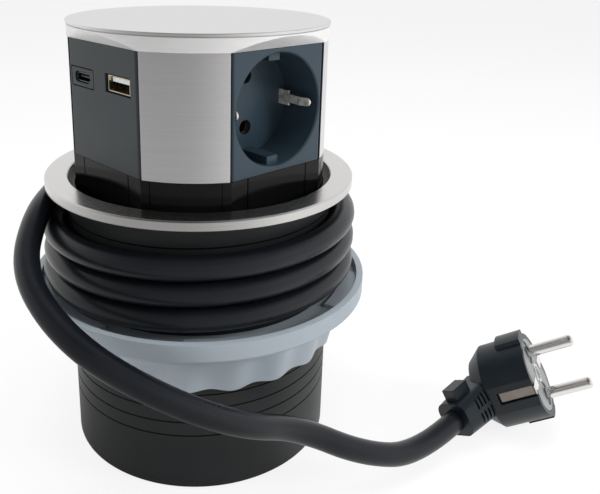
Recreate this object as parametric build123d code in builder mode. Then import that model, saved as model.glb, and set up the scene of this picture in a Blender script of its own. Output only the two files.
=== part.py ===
from build123d import *
from math import atan2, cos, degrees, pi, radians, sin, sqrt, tan
import os

# Pop up desk socket: a head with four flat faces slides up out of a threaded housing.
# Millimetres, +Z up, origin at the middle of the housing's underside. The faces look along
# -Y (front), +X (right), +Y (back) and -X (left, with the two charging ports).

os.makedirs("parts", exist_ok=True)

overrun = 1.0
slide_clear = 0.4
fit_clear = 0.1
seat_gap = 0.2

# Head
head_r = 48.5
flat_share = 0.895
face_h_share = 1.004
disc_out = 0.7
base_show_h = 8.9
cap_ring_h = 4.9
disc_t = 1.4
disc_groove_h = 0.4
disc_groove_depth = 0.8
lift_travel = 55.0

# Housing
bush_wall = 1.1
tube_wall = 2.0
ring_top_z = 110.0
ring_out = 8.0
ring_bore_gap = 2.4
ring_t = 3.4
ring_edge_chamfer = 0.5
cover_t = 3.0

flat_reach = head_r * flat_share
face_half_w = sqrt(head_r ** 2 - flat_reach ** 2)
face_h = 2 * face_half_w * face_h_share
disc_r = head_r + disc_out
sleeve_bore_r = head_r + slide_clear
tube_in_r = sleeve_bore_r + bush_wall
tube_r = tube_in_r + tube_wall
ring_r = tube_r + ring_out
ring_bore_r = sleeve_bore_r + ring_bore_gap
ring_low_z = ring_top_z - ring_t
face_low_z = ring_top_z + base_show_h
face_mid_z = face_low_z + face_h / 2
face_top_z = face_low_z + face_h
cap_top_z = face_top_z + cap_ring_h

# Mains cord
cord_d = 8.9
cord_r = cord_d / 2


def along(az, reach, z=0.0):
    """The point at this azimuth (0 is the front, growing to the right) and distance from the axis."""
    return Vector(reach * sin(radians(az)), -reach * cos(radians(az)), z)


def face_plane(az, reach, z):
    """A plane whose normal looks outward at this azimuth, with its X level and its Y up."""
    return Plane(origin=along(az, reach, z), x_dir=(cos(radians(az)), sin(radians(az)), 0),
                 z_dir=(sin(radians(az)), -cos(radians(az)), 0))


def save(part, label):
    part.label = label
    export_step(part, f"parts/{label}.step")


# Housing tube: wall, top flange and four screw bosses at the foot
flange_out = 2.0
flange_t = 1.4
boss_r = 4.2
boss_bite = 0.9
boss_h = 11.0
screw_pilot_r = 1.5
spigot_h = 3.0
cover_screws_n = 4
flange_r = tube_r + flange_out
boss_ring_r = tube_in_r - boss_r + boss_bite
boss_low_z = cover_t + spigot_h + seat_gap

with BuildPart() as housing_tube:
    with BuildSketch(Plane.XY.offset(cover_t)):
        Circle(tube_r)
        Circle(tube_in_r, mode=Mode.SUBTRACT)
    extrude(amount=ring_low_z - cover_t)
    with BuildSketch(Plane.XY.offset(ring_low_z - flange_t)):
        Circle(flange_r)
        Circle(tube_in_r, mode=Mode.SUBTRACT)
    extrude(amount=flange_t)
    with BuildSketch(Plane.XY.offset(boss_low_z)):
        with PolarLocations(boss_ring_r, cover_screws_n):
            Circle(boss_r)
        Circle(tube_r - tube_wall / 2, mode=Mode.INTERSECT)
    extrude(amount=boss_h - spigot_h)
    with BuildSketch(Plane.XY.offset(boss_low_z)):
        with PolarLocations(boss_ring_r, cover_screws_n):
            Circle(screw_pilot_r)
    extrude(amount=boss_h - spigot_h, mode=Mode.SUBTRACT)
save(housing_tube.part, "housing_tube")

# Trim ring: turned metal ring that lies on the desk round the hole
with BuildPart() as trim_ring:
    with BuildSketch(Plane.XY.offset(ring_low_z)):
        Circle(ring_r)
        Circle(ring_bore_r, mode=Mode.SUBTRACT)
    extrude(amount=ring_t)
    top_edges = trim_ring.faces().sort_by(Axis.Z)[-1].edges()
    chamfer(top_edges, ring_edge_chamfer)
save(trim_ring.part, "trim_ring")

# Gasket: foam ring between the trim ring and the desk top
gasket_t = 0.8
gasket_in_gap = 0.3
gasket_out_share = 0.975
with BuildPart() as ring_gasket:
    with BuildSketch(Plane.XY.offset(ring_low_z)):
        Circle(ring_r * gasket_out_share)
        Circle(flange_r + gasket_in_gap, mode=Mode.SUBTRACT)
    extrude(amount=-gasket_t)
save(ring_gasket.part, "ring_gasket")

# Guide bush in the mouth of the tube, with a window for each friction pad
bush_h = 8.0
pads_n = 4
pad_w = 12.0
pad_h = 5.0
pad_press_gap = 0.15
bush_low_z = ring_low_z - bush_h
pad_mid_z = bush_low_z + bush_h / 2
pad_az = 45.0

with BuildPart() as guide_bush:
    with BuildSketch(Plane.XY.offset(bush_low_z)):
        Circle(tube_in_r)
        Circle(sleeve_bore_r, mode=Mode.SUBTRACT)
    extrude(amount=bush_h)
    for k in range(pads_n):
        window = face_plane(pad_az + k * 360 / pads_n, tube_in_r + overrun, pad_mid_z)
        with BuildSketch(window):
            Rectangle(pad_w + 2 * fit_clear, pad_h + 2 * fit_clear)
        extrude(amount=-(tube_in_r - sleeve_bore_r) * 2 - overrun, mode=Mode.SUBTRACT)
save(guide_bush.part, "guide_bush")

with BuildPart() as friction_pads:
    for k in range(pads_n):
        with BuildSketch(face_plane(pad_az + k * 360 / pads_n, tube_in_r, pad_mid_z)):
            Rectangle(pad_w, pad_h)
        extrude(amount=-(tube_in_r - sleeve_bore_r) * 2)
    with BuildSketch(Plane.XY.offset(bush_low_z)):
        Circle(tube_in_r - fit_clear / 2)
        Circle(head_r + pad_press_gap, mode=Mode.SUBTRACT)
    extrude(amount=bush_h, mode=Mode.INTERSECT)
save(friction_pads.part, "friction_pads")

# Base cover: round plate with a spigot into the tube, held by countersunk screws
cover_edge_chamfer = 0.8
cover_screw_r = 1.35
cover_head_r = 2.8
cover_head_t = 1.6
screw_reach_in = 5.0

with BuildPart() as base_cover:
    with BuildSketch():
        Circle(tube_r)
    extrude(amount=cover_t)
    with BuildSketch(Plane.XY.offset(cover_t)):
        Circle(tube_in_r - fit_clear)
        Circle(tube_in_r - fit_clear - tube_wall, mode=Mode.SUBTRACT)
        with PolarLocations(boss_ring_r, cover_screws_n):
            Circle(boss_r)
        Circle(tube_in_r - fit_clear, mode=Mode.INTERSECT)
    extrude(amount=spigot_h)
    chamfer(base_cover.faces().sort_by(Axis.Z)[0].edges(), cover_edge_chamfer)
    with BuildSketch():
        with PolarLocations(boss_ring_r, cover_screws_n):
            Circle(cover_screw_r + fit_clear)
    extrude(amount=cover_t + spigot_h, mode=Mode.SUBTRACT)
    with BuildSketch():
        with PolarLocations(boss_ring_r, cover_screws_n):
            Circle(cover_head_r + fit_clear)
    extrude(amount=cover_head_t + seat_gap + fit_clear, mode=Mode.SUBTRACT)
save(base_cover.part, "base_cover")

with BuildPart() as cover_screws:
    with BuildSketch(Plane.XY.offset(seat_gap)):
        with PolarLocations(boss_ring_r, cover_screws_n):
            Circle(cover_head_r)
    extrude(amount=cover_head_t)
    with BuildSketch(Plane.XY.offset(seat_gap + cover_head_t)):
        with PolarLocations(boss_ring_r, cover_screws_n):
            Circle(cover_screw_r)
    extrude(amount=boss_low_z + screw_reach_in - seat_gap - cover_head_t)
save(cover_screws.part, "cover_screws")

# Head frame: sleeve with flats, stop collar, foot collar, deck and four corner posts
sleeve_wall = 2.4
sleeve_under_h = 38.0
foot_collar_h = 4.0
stop_collar_h = 5.0
deck_t = 2.5
deck_hole_r = 9.0
panel_t = 1.6
panel_edge_gap = 0.5
tie_in = 10.0
tie_hole_r = 1.7
sleeve_low_z = ring_top_z - sleeve_under_h
post_inset = face_half_w + panel_edge_gap / 2
tie_ring_r = head_r - tie_in
collar_r = tube_in_r - slide_clear
deck_low_z = face_low_z - deck_t
stop_top_z = bush_low_z - seat_gap
post_r = head_r - panel_t - fit_clear
base_groove_w = 0.5
base_groove_depth = 0.4
base_groove_share = 0.66
base_groove_x = face_half_w * base_groove_share
corner_groove_az = 14.5
quarter_turns = 4
diagonal = 45.0

with BuildPart() as head_frame:
    with BuildSketch(Plane.XY.offset(sleeve_low_z)):
        Circle(head_r)
        Rectangle(2 * flat_reach, 2 * flat_reach, mode=Mode.INTERSECT)
    extrude(amount=face_low_z - sleeve_low_z)
    for low, high in ((sleeve_low_z, foot_collar_h), (stop_top_z - stop_collar_h, stop_collar_h)):
        with BuildSketch(Plane.XY.offset(low)):
            Circle(collar_r)
        extrude(amount=high)
    with BuildSketch(Plane.XY.offset(sleeve_low_z)):
        Circle(head_r - sleeve_wall)
        Rectangle(2 * (flat_reach - sleeve_wall), 2 * (flat_reach - sleeve_wall), mode=Mode.INTERSECT)
    extrude(amount=deck_low_z - sleeve_low_z, mode=Mode.SUBTRACT)
    with BuildSketch(Plane.XY.offset(face_low_z)):
        Circle(post_r)
        Rectangle(2 * post_inset, 2 * head_r, mode=Mode.SUBTRACT)
        Rectangle(2 * head_r, 2 * post_inset, mode=Mode.SUBTRACT)
    extrude(amount=face_h)
    with BuildSketch(Plane.XY.offset(deck_low_z)):
        with PolarLocations(tie_ring_r, quarter_turns, start_angle=diagonal):
            Circle(tie_hole_r)
        Circle(deck_hole_r)
    extrude(amount=face_top_z - deck_low_z, mode=Mode.SUBTRACT)
    for k in range(quarter_turns):
        with BuildSketch(face_plane(90.0 * k, flat_reach, ring_top_z)):
            with Locations((-base_groove_x, 0), (base_groove_x, 0)):
                Rectangle(base_groove_w, 2 * base_show_h)
        extrude(amount=-base_groove_depth, mode=Mode.SUBTRACT)
        for side_az in (-corner_groove_az, corner_groove_az):
            with BuildSketch(face_plane(diagonal + 90.0 * k + side_az, head_r, ring_top_z)):
                Rectangle(base_groove_w, 2 * base_show_h)
            extrude(amount=-base_groove_depth, mode=Mode.SUBTRACT)
save(head_frame.part, "head_frame")

# Four curved brushed panels between the faces
panel_names = ("panel_front_right", "panel_back_right", "panel_back_left", "panel_front_left")

for k, panel_name in enumerate(panel_names):
    with BuildPart() as side_panel:
        with BuildSketch(Plane.XY.offset(face_low_z + fit_clear)):
            Circle(head_r)
            Circle(head_r - panel_t, mode=Mode.SUBTRACT)
            inset = face_half_w + panel_edge_gap
            corner = along(diagonal + 90.0 * k, sqrt(2) * (inset + head_r) / 2)
            with Locations((corner.X, corner.Y)):
                Rectangle(head_r - inset, head_r - inset, mode=Mode.INTERSECT)
        extrude(amount=face_h - 2 * fit_clear)
    save(side_panel.part, panel_name)

# Cap ring with a slanted chamfer above each face, and the thin disc on top of it
cap_slope_reach = head_r + 2 * slide_clear
cap_hole_depth = 3.6
cap_slope_h_share = 0.98

with BuildPart() as cap_ring:
    with BuildSketch(Plane.XY.offset(face_top_z)):
        Circle(head_r + slide_clear)
    extrude(amount=cap_ring_h)
    for k in range(quarter_turns):
        side = Plane(origin=(0, 0, face_top_z), x_dir=along(90.0 * k, 1), z_dir=along(90.0 * k + 90, 1))
        up = side.y_dir.Z
        with BuildSketch(side):
            with BuildLine():
                Polyline((flat_reach, 0), (cap_slope_reach, 0),
                         (cap_slope_reach, up * cap_ring_h * cap_slope_h_share), close=True)
            make_face()
        extrude(amount=head_r, both=True, mode=Mode.SUBTRACT)
    with BuildSketch(Plane.XY.offset(face_top_z)):
        with PolarLocations(tie_ring_r, quarter_turns, start_angle=diagonal):
            Circle(tie_hole_r)
    extrude(amount=cap_hole_depth, mode=Mode.SUBTRACT)
save(cap_ring.part, "cap_ring")

with BuildPart() as top_disc:
    with BuildSketch(Plane.XY.offset(cap_top_z)):
        Circle(disc_r - disc_groove_depth)
    extrude(amount=disc_groove_h)
    with BuildSketch(Plane.XY.offset(cap_top_z + disc_groove_h)):
        Circle(disc_r)
    extrude(amount=disc_t - disc_groove_h)
    fillet(top_disc.faces().sort_by(Axis.Z)[-1].edges(), (disc_t - disc_groove_h) / 3)
save(top_disc.part, "top_disc")

# Tie screws from under the deck, through the posts, into the cap ring
tie_r = 1.5
tie_head_r = 2.8
tie_head_t = 2.2
tie_tip_gap = 0.5

with BuildPart() as tie_screws:
    with BuildSketch(Plane.XY.offset(deck_low_z)):
        with PolarLocations(tie_ring_r, quarter_turns, start_angle=diagonal):
            Circle(tie_head_r)
    extrude(amount=-tie_head_t)
    with BuildSketch(Plane.XY.offset(deck_low_z)):
        with PolarLocations(tie_ring_r, quarter_turns, start_angle=diagonal):
            Circle(tie_r)
    extrude(amount=face_top_z + cap_hole_depth - tie_tip_gap - deck_low_z)
save(tie_screws.part, "tie_screws")

# Socket inserts: face, round well, floor with two pin holes, contact housing behind it
well_share = 0.924
well_depth = 17.5
well_chamfer = 0.5
well_floor_t = 2.0
plate_t = 3.0
face_side_gap = 0.25
cup_wall = 1.3
pin_pitch = 19.0
pin_hole_r = 2.75
rib_w = 5.2
rib_h = 3.0
rib_setback = 3.0
contact_box_w = 16.0
contact_box_h = 30.0
contact_box_depth = 10.5
contact_r = 3.2
contact_bore_r = 2.35
clip_w = 5.5
clip_arm_w = 3.0
clip_t = 0.8
clip_in = 2.0
clip_slot_w = 2.2
clip_channel_depth = 1.8
clip_bulge = 1.9
clip_tip_depth = 1.8
clip_bulge_depth = 6.0
clip_root_depth = 12.5
edge_round = 1.0
well_r = face_half_w * well_share
clip_reach = well_r - clip_in
plate_w = 2 * (face_half_w - face_side_gap)
plate_h = face_h - 2 * fit_clear
floor_back = well_depth + well_floor_t
insert_back = floor_back + contact_box_depth
contact_len = contact_box_depth - seat_gap
earth_bar_w = 4.0
socket_sides = (("front", 0.0), ("right", 90.0), ("back", 180.0))

for side_name, az in socket_sides:
    mouth = face_plane(az, flat_reach, face_mid_z)
    with BuildPart() as socket_insert:
        with BuildSketch(mouth):
            Rectangle(plate_w, plate_h)
        extrude(amount=-plate_t)
        upright = socket_insert.edges().filter_by(Axis.Z).group_by(
            lambda e: round((e.center() - mouth.origin).dot(mouth.z_dir)))[-1]
        fillet(upright, edge_round)
        with BuildSketch(mouth.offset(-plate_t)):
            Circle(well_r + cup_wall)
        extrude(amount=-(floor_back - plate_t))
        with BuildSketch(mouth.offset(-floor_back)):
            Rectangle(contact_box_w, contact_box_h)
        extrude(amount=-contact_box_depth)
        with BuildSketch(mouth):
            Circle(well_r)
        extrude(amount=-well_depth, mode=Mode.SUBTRACT)
        rim = socket_insert.edges().filter_by(GeomType.CIRCLE).group_by(
            lambda e: round((e.center() - mouth.origin).dot(mouth.z_dir), 1))[-1]
        chamfer(rim, well_chamfer)
        with BuildSketch(mouth.offset(-rib_setback)):
            with Locations((0, well_r), (0, -well_r)):
                Rectangle(rib_w, 2 * rib_h)
            Circle(well_r + cup_wall / 2, mode=Mode.INTERSECT)
        extrude(amount=-(well_depth - rib_setback))
        with BuildSketch(mouth.offset(-well_depth)):
            with Locations((0, pin_pitch / 2), (0, -pin_pitch / 2)):
                Circle(pin_hole_r)
        extrude(amount=-well_floor_t, mode=Mode.SUBTRACT)
        with BuildSketch(mouth.offset(-floor_back)):
            with Locations((0, pin_pitch / 2), (0, -pin_pitch / 2)):
                Circle(contact_r + fit_clear)
            Rectangle(earth_bar_w + 2 * fit_clear, earth_bar_w)
        extrude(amount=-contact_box_depth, mode=Mode.SUBTRACT)
        with BuildSketch(mouth.offset(-floor_back)):
            Rectangle(2 * well_r, clip_w + 2 * fit_clear)
        extrude(amount=-clip_channel_depth, mode=Mode.SUBTRACT)
        with BuildSketch(mouth.offset(-well_depth)):
            with Locations((-clip_reach, 0), (clip_reach, 0)):
                Rectangle(clip_slot_w, clip_w + 2 * fit_clear)
        extrude(amount=-well_floor_t, mode=Mode.SUBTRACT)
    save(socket_insert.part, f"socket_insert_{side_name}")

    # Spring contacts: split tubes, a slot along each
    with BuildPart() as pin_contacts:
        with BuildSketch(mouth.offset(-floor_back - seat_gap)):
            with Locations((0, pin_pitch / 2), (0, -pin_pitch / 2)):
                Circle(contact_r)
                Circle(contact_bore_r, mode=Mode.SUBTRACT)
        extrude(amount=-contact_len)
        with BuildSketch(mouth.offset(-floor_back - seat_gap)):
            Rectangle(clip_t, contact_box_h)
        extrude(amount=-contact_len * 2 / 3, mode=Mode.SUBTRACT)
    save(pin_contacts.part, f"pin_contacts_{side_name}")

    # Earth clip: one bent strap behind the floor with an arm up each side of the well
    clip_back = floor_back + seat_gap
    level = Plane(origin=mouth.origin, x_dir=mouth.x_dir, z_dir=(0, 0, 1))
    outward = level.to_local_coords(mouth.origin + mouth.z_dir).Y
    with BuildPart() as earth_clip:
        with BuildSketch(level):
            for hand in (-1, 1):
                arm = hand * clip_reach
                inner = hand * (clip_reach - clip_t)
                bulge = hand * (clip_reach - clip_bulge)
                with BuildLine():
                    Polyline((arm, -outward * (clip_back + clip_t)), (arm, -outward * clip_root_depth),
                             (bulge + hand * clip_t, -outward * clip_bulge_depth),
                             (arm, -outward * clip_tip_depth), (inner, -outward * clip_tip_depth),
                             (bulge, -outward * clip_bulge_depth),
                             (inner, -outward * clip_root_depth),
                             (inner, -outward * (clip_back + clip_t)), close=True)
                make_face()
            with Locations((0, -outward * (clip_back + clip_t / 2))):
                Rectangle(2 * clip_reach, clip_t)
        extrude(amount=clip_w / 2, both=True)
        root_mid = (clip_back + clip_t + clip_root_depth) / 2
        arm_end = clip_tip_depth + clip_arm_w / 2
        with BuildSketch(Plane(origin=mouth.origin, x_dir=mouth.z_dir, z_dir=mouth.x_dir)):
            with Locations((-root_mid, 0)):
                Rectangle(2 * (root_mid - clip_root_depth), clip_w)
            with Locations((-(clip_root_depth + arm_end) / 2, 0)):
                Rectangle(clip_root_depth - arm_end, clip_arm_w)
            with Locations((-arm_end, 0)):
                Circle(clip_arm_w / 2)
        extrude(amount=clip_reach, both=True, mode=Mode.INTERSECT)
    save(earth_clip.part, f"earth_clip_{side_name}")

# Bus bars: two square frames join the pin contacts, a cross joins the earth clips
bar_t = 1.2
bar_w = 3.0
bar_reach = flat_reach - insert_back - fit_clear
earth_reach = flat_reach - floor_back - seat_gap - clip_t - fit_clear

for bar_name, level_z in (("bus_bar_live", pin_pitch / 2), ("bus_bar_neutral", -pin_pitch / 2)):
    with BuildPart() as bus_bar:
        with BuildSketch(Plane.XY.offset(face_mid_z + level_z - bar_t / 2)):
            Rectangle(2 * bar_reach, 2 * bar_reach)
            Rectangle(2 * (bar_reach - bar_w), 2 * (bar_reach - bar_w), mode=Mode.SUBTRACT)
        extrude(amount=bar_t)
    save(bus_bar.part, bar_name)

with BuildPart() as bus_bar_earth:
    with BuildSketch(Plane.XY.offset(face_mid_z - bar_t / 2)):
        Rectangle(earth_bar_w, 2 * earth_reach)
        with Locations((earth_reach / 2, 0)):
            Rectangle(earth_reach, earth_bar_w)
    extrude(amount=bar_t)
save(bus_bar_earth.part, "bus_bar_earth")

# Charging face: plate with two port openings, metal shells, tongues, board and its parts
usb_az = -90.0
port_a_w = 13.2
port_a_h = 5.6
port_a_rim_w = 1.0
port_a_rim_h = 0.5
port_a_x_share = 0.463
port_a_y = 8.8
port_c_w = 9.4
port_c_h = 3.3
port_c_rim = 0.35
port_c_x_share = 0.578
port_c_y = 8.3
port_c_frame_share = 0.693
port_c_frame_h = 7.3
port_c_round = 1.45
port_frame_groove = 0.4
port_depth = 14.0
port_setback = 0.6
shell_t = 0.35
tongue_a_t = 1.9
tongue_c_t = 0.8
tongue_inset = 1.0
tongue_back = 1.3
board_t = 1.6
board_w_share = 0.8
board_h_share = 0.88
board_w = plate_w * board_w_share
board_h = plate_h * board_h_share
port_a_x = face_half_w * port_a_x_share
port_c_x = -face_half_w * port_c_x_share
port_c_frame_w = face_half_w * port_c_frame_share
usb_mouth = face_plane(usb_az, flat_reach, face_mid_z)
board_front = port_setback + port_depth + seat_gap
board_back = board_front + board_t

with BuildPart() as usb_faceplate:
    with BuildSketch(usb_mouth):
        Rectangle(plate_w, plate_h)
    extrude(amount=-plate_t)
    upright = usb_faceplate.edges().filter_by(Axis.Z).group_by(
        lambda e: round((e.center() - usb_mouth.origin).dot(usb_mouth.z_dir)))[-1]
    fillet(upright, edge_round)
    with BuildSketch(usb_mouth):
        with Locations((port_a_x, port_a_y)):
            Rectangle(port_a_w + 2 * port_a_rim_w, port_a_h + 2 * port_a_rim_h)
        with Locations((port_c_x, port_c_y)):
            RectangleRounded(port_c_w + 2 * port_c_rim, port_c_h + 2 * port_c_rim, port_c_round + port_c_rim)
    extrude(amount=-plate_t, mode=Mode.SUBTRACT)
    with BuildSketch(usb_mouth):
        with Locations((port_c_x, port_c_y)):
            RectangleRounded(port_c_frame_w, port_c_frame_h, port_c_round / 2)
            RectangleRounded(port_c_frame_w - 2 * port_frame_groove, port_c_frame_h - 2 * port_frame_groove,
                             port_c_round / 3, mode=Mode.SUBTRACT)
    extrude(amount=-port_frame_groove, mode=Mode.SUBTRACT)
save(usb_faceplate.part, "usb_faceplate")

with BuildPart() as usb_a_shell:
    with BuildSketch(usb_mouth.offset(-port_setback)):
        with Locations((port_a_x, port_a_y)):
            Rectangle(port_a_w, port_a_h)
            Rectangle(port_a_w - 2 * shell_t, port_a_h - 2 * shell_t, mode=Mode.SUBTRACT)
    extrude(amount=-port_depth)
save(usb_a_shell.part, "usb_a_shell")

with BuildPart() as usb_a_tongue:
    with BuildSketch(usb_mouth.offset(-port_setback - tongue_back)):
        with Locations((port_a_x, port_a_y + port_a_h / 2 - shell_t - fit_clear - tongue_a_t / 2)):
            Rectangle(port_a_w - 2 * shell_t - tongue_inset, tongue_a_t)
    extrude(amount=-(port_depth - tongue_back))
save(usb_a_tongue.part, "usb_a_tongue")

with BuildPart() as usb_c_shell:
    with BuildSketch(usb_mouth.offset(-port_setback)):
        with Locations((port_c_x, port_c_y)):
            RectangleRounded(port_c_w, port_c_h, port_c_round)
            RectangleRounded(port_c_w - 2 * shell_t, port_c_h - 2 * shell_t, port_c_round - shell_t,
                             mode=Mode.SUBTRACT)
    extrude(amount=-port_depth)
save(usb_c_shell.part, "usb_c_shell")

with BuildPart() as usb_c_tongue:
    with BuildSketch(usb_mouth.offset(-port_setback - tongue_inset)):
        with Locations((port_c_x, port_c_y)):
            Rectangle(port_c_w - 2 * shell_t - tongue_inset, tongue_c_t)
    extrude(amount=-(port_depth - tongue_inset))
save(usb_c_tongue.part, "usb_c_tongue")

with BuildPart() as usb_board:
    with BuildSketch(usb_mouth.offset(-board_front)):
        Rectangle(board_w, board_h)
    extrude(amount=-board_t)
save(usb_board.part, "usb_board")

transformer_w = 15.0
transformer_h = 14.0
transformer_share = 0.41
transformer_t = (flat_reach - board_back) * transformer_share
transformer_drop = 9.0
capacitor_r = 4.0
capacitor_share = 0.37
capacitor_len = (flat_reach - board_back) * capacitor_share
capacitor_x = 10.0
with BuildPart() as usb_transformer:
    with BuildSketch(usb_mouth.offset(-board_back)):
        with Locations((0, -transformer_drop)):
            Rectangle(transformer_w, transformer_h)
    extrude(amount=-transformer_t)
    chamfer(usb_transformer.edges().filter_by(Axis.Z), panel_t)
save(usb_transformer.part, "usb_transformer")

with BuildPart() as usb_capacitors:
    with BuildSketch(usb_mouth.offset(-board_back)):
        with Locations((-capacitor_x, transformer_drop), (capacitor_x, transformer_drop)):
            Circle(capacitor_r)
    extrude(amount=-capacitor_len)
save(usb_capacitors.part, "usb_capacitors")

# Pressure ring: raised rim, recess with six raised sectors, runs free over the thread
thread_pitch = 5.7
nut_bore_gap = 0.7
press_rim_out = 13.7
press_rim_w = 2.6
winding_h = 37.8
press_rim_h = 6.4
press_web_t = 2.2
press_hub_out = 7.3
press_hub_h = 3.0
sector_n = 6
sector_h = 1.4
sector_half_angle = 15.0
sector_in_out = 4.3
nut_bore_r = tube_r + nut_bore_gap
press_rim_r = nut_bore_r + press_rim_out
press_hub_r = nut_bore_r + press_hub_out
sector_in_r = nut_bore_r + sector_in_out
press_top_z = ring_low_z - winding_h
press_web_low_z = press_top_z - press_rim_h

with BuildPart() as pressure_ring:
    with BuildSketch(Plane.XY.offset(press_web_low_z)):
        Circle(press_rim_r)
    extrude(amount=press_rim_h)
    with BuildSketch(Plane.XY.offset(press_web_low_z + press_web_t)):
        Circle(press_rim_r - press_rim_w)
    extrude(amount=press_rim_h, mode=Mode.SUBTRACT)
    with BuildSketch(Plane.XY.offset(press_web_low_z + press_web_t)):
        with PolarLocations(0, sector_n):
            Polygon((0, 0), (press_rim_r, -press_rim_r * tan(radians(sector_half_angle))),
                    (press_rim_r, press_rim_r * tan(radians(sector_half_angle))), align=None)
        Circle(press_rim_r - press_rim_w, mode=Mode.INTERSECT)
        Circle(sector_in_r, mode=Mode.SUBTRACT)
    extrude(amount=sector_h)
    with BuildSketch(Plane.XY.offset(press_web_low_z - press_hub_h)):
        Circle(press_hub_r)
    extrude(amount=press_hub_h)
    with BuildSketch(Plane.XY.offset(press_web_low_z - press_hub_h)):
        Circle(nut_bore_r)
    extrude(amount=press_hub_h + press_rim_h, mode=Mode.SUBTRACT)
save(pressure_ring.part, "pressure_ring")

# Clamping nut: short flange over a tapered skirt with grip flutes
nut_h = 16.4
nut_flange_out = 6.1
nut_flange_h = 3.0
skirt_top_out = 5.1
skirt_foot_out = 2.1
flutes_n = 20
flute_r = 12.0
flute_floor_out = 1.2
nut_top_z = press_web_low_z - press_hub_h - seat_gap
nut_low_z = nut_top_z - nut_h
nut_flange_r = nut_bore_r + nut_flange_out
skirt_top_r = nut_bore_r + skirt_top_out
skirt_foot_r = nut_bore_r + skirt_foot_out
flute_floor_r = nut_bore_r + flute_floor_out

with BuildPart() as clamping_nut:
    with BuildSketch(Plane.XZ):
        with BuildLine():
            Polyline((nut_bore_r, nut_low_z), (skirt_foot_r, nut_low_z),
                     (skirt_top_r, nut_top_z - nut_flange_h), (nut_flange_r, nut_top_z - nut_flange_h),
                     (nut_flange_r, nut_top_z), (nut_bore_r, nut_top_z), close=True)
        make_face()
    revolve(axis=Axis.Z)
    with BuildSketch(Plane.XY.offset(nut_low_z)):
        with PolarLocations(flute_floor_r + flute_r, flutes_n):
            Circle(flute_r)
    extrude(amount=nut_top_z - nut_flange_h - nut_low_z, mode=Mode.SUBTRACT)
save(clamping_nut.part, "clamping_nut")


def biarc(start, end, start_dir, end_dir):
    """Two arcs from start to end that leave and arrive along the given unit directions."""
    gap = end - start
    both = start_dir + end_dir
    spread = 2 * (1 - start_dir.dot(end_dir))
    reach = (sqrt(gap.dot(both) ** 2 + spread * gap.dot(gap)) - gap.dot(both)) / spread
    middle = (start + end + (start_dir - end_dir) * reach) * 0.5
    TangentArc(start, middle, tangent=start_dir)
    TangentArc(middle, end, tangent=(middle - start) * (2 * start_dir.dot((middle - start).normalized()))
               / (middle - start).length - start_dir)


def wind(place, stations, lead_in):
    """Biarcs along the curve place(degrees) from station to station, with straight ends."""
    small = 0.01
    spots = [place(az) for az in stations]
    aims = [(place(az + small) - place(az - small)).normalized() for az in stations]
    Line(spots[0] - aims[0] * lead_in, spots[0])
    for k in range(len(spots) - 1):
        biarc(spots[k], spots[k + 1], aims[k], aims[k + 1])
    Line(spots[-1], spots[-1] + aims[-1] * lead_in)


# Cord winding: three turns between the trim ring and the nut, climbing to the right
coil_pitch = 9.4
coil_gap = 0.8
coil_seat_gap = 0.05
coil_front_az = -51.0
coil_entry_az = (-185.0, -170.0, -154.0, -119.0)
coil_last_az = 940.0
coil_quarters_n = 12
coil_r = tube_r + cord_r + coil_gap
coil_front_z = press_top_z + cord_r + coil_seat_gap
coil_rise_az = 206.0
coil_rise = 1.3
coil_rise_half = 60.0
half_turn = 180.0
entry_out = 10.5
entry_up = 3.8
entry_out_power = 1.6
entry_up_power = 1.8


def coil_place(az):
    """The winding's centre line at this azimuth, which grows by 360 with each turn."""
    off = abs((az - coil_rise_az + half_turn) % (2 * half_turn) - half_turn)
    z = coil_front_z + coil_pitch * (az - coil_front_az) / 360
    z += coil_rise * cos(radians(90 * min(1.0, off / coil_rise_half))) ** 2
    back = max(0.0, coil_entry_az[-1] - az) / (coil_entry_az[-1] - coil_entry_az[0])
    z += entry_up * sin(radians(90 * min(1.0, back ** entry_up_power))) ** 2
    return along(az, coil_r + entry_out * back ** entry_out_power, z)


def self_gap(points, thickness, apart):
    """Least gap between stretches of a tube that are more than `apart` along it."""
    least = None
    reach = [0.0]
    for a, b in zip(points, points[1:]):
        reach.append(reach[-1] + (b - a).length)
    for i in range(0, len(points)):
        for j in range(i + 1, len(points)):
            if reach[j] - reach[i] > apart:
                gap = (points[j] - points[i]).length - thickness
                least = gap if least is None else min(least, gap)
    return least


coil_stations = list(coil_entry_az)
coil_stations += [coil_last_az - 90.0 * k for k in reversed(range(coil_quarters_n))]

with BuildPart() as cord_coil:
    with BuildLine() as coil_line:
        wind(coil_place, coil_stations, cord_d)
    coil_route = coil_line.wire()
    with BuildSketch(Plane(origin=coil_route @ 0, z_dir=coil_route % 0)):
        Circle(cord_r)
    sweep()
save(cord_coil.part, "cord_coil")

coil_start = coil_route @ 0
coil_start_dir = coil_route % 0
coil_end = coil_route @ 1
coil_end_dir = coil_route % 1
cord_area = pi * cord_r ** 2
print("cord_coil length", round(coil_route.length, 1), "least gap",
      round(self_gap([coil_route @ (k / 1200) for k in range(1201)], cord_d, 4 * cord_d), 2),
      "volume share", round(cord_coil.part.volume / (cord_area * coil_route.length), 4))


def corner_radii(points):
    """Each corner's arc: 0.45 of the shorter run over the tangent of half the turn."""
    radii = []
    for before, here, after in zip(points, points[1:], points[2:]):
        run_in = here - before
        run_out = after - here
        half_turn = radians(run_in.get_angle(run_out)) / 2
        radii.append(0.45 * min(run_in.length, run_out.length) / tan(half_turn))
    return radii


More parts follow.
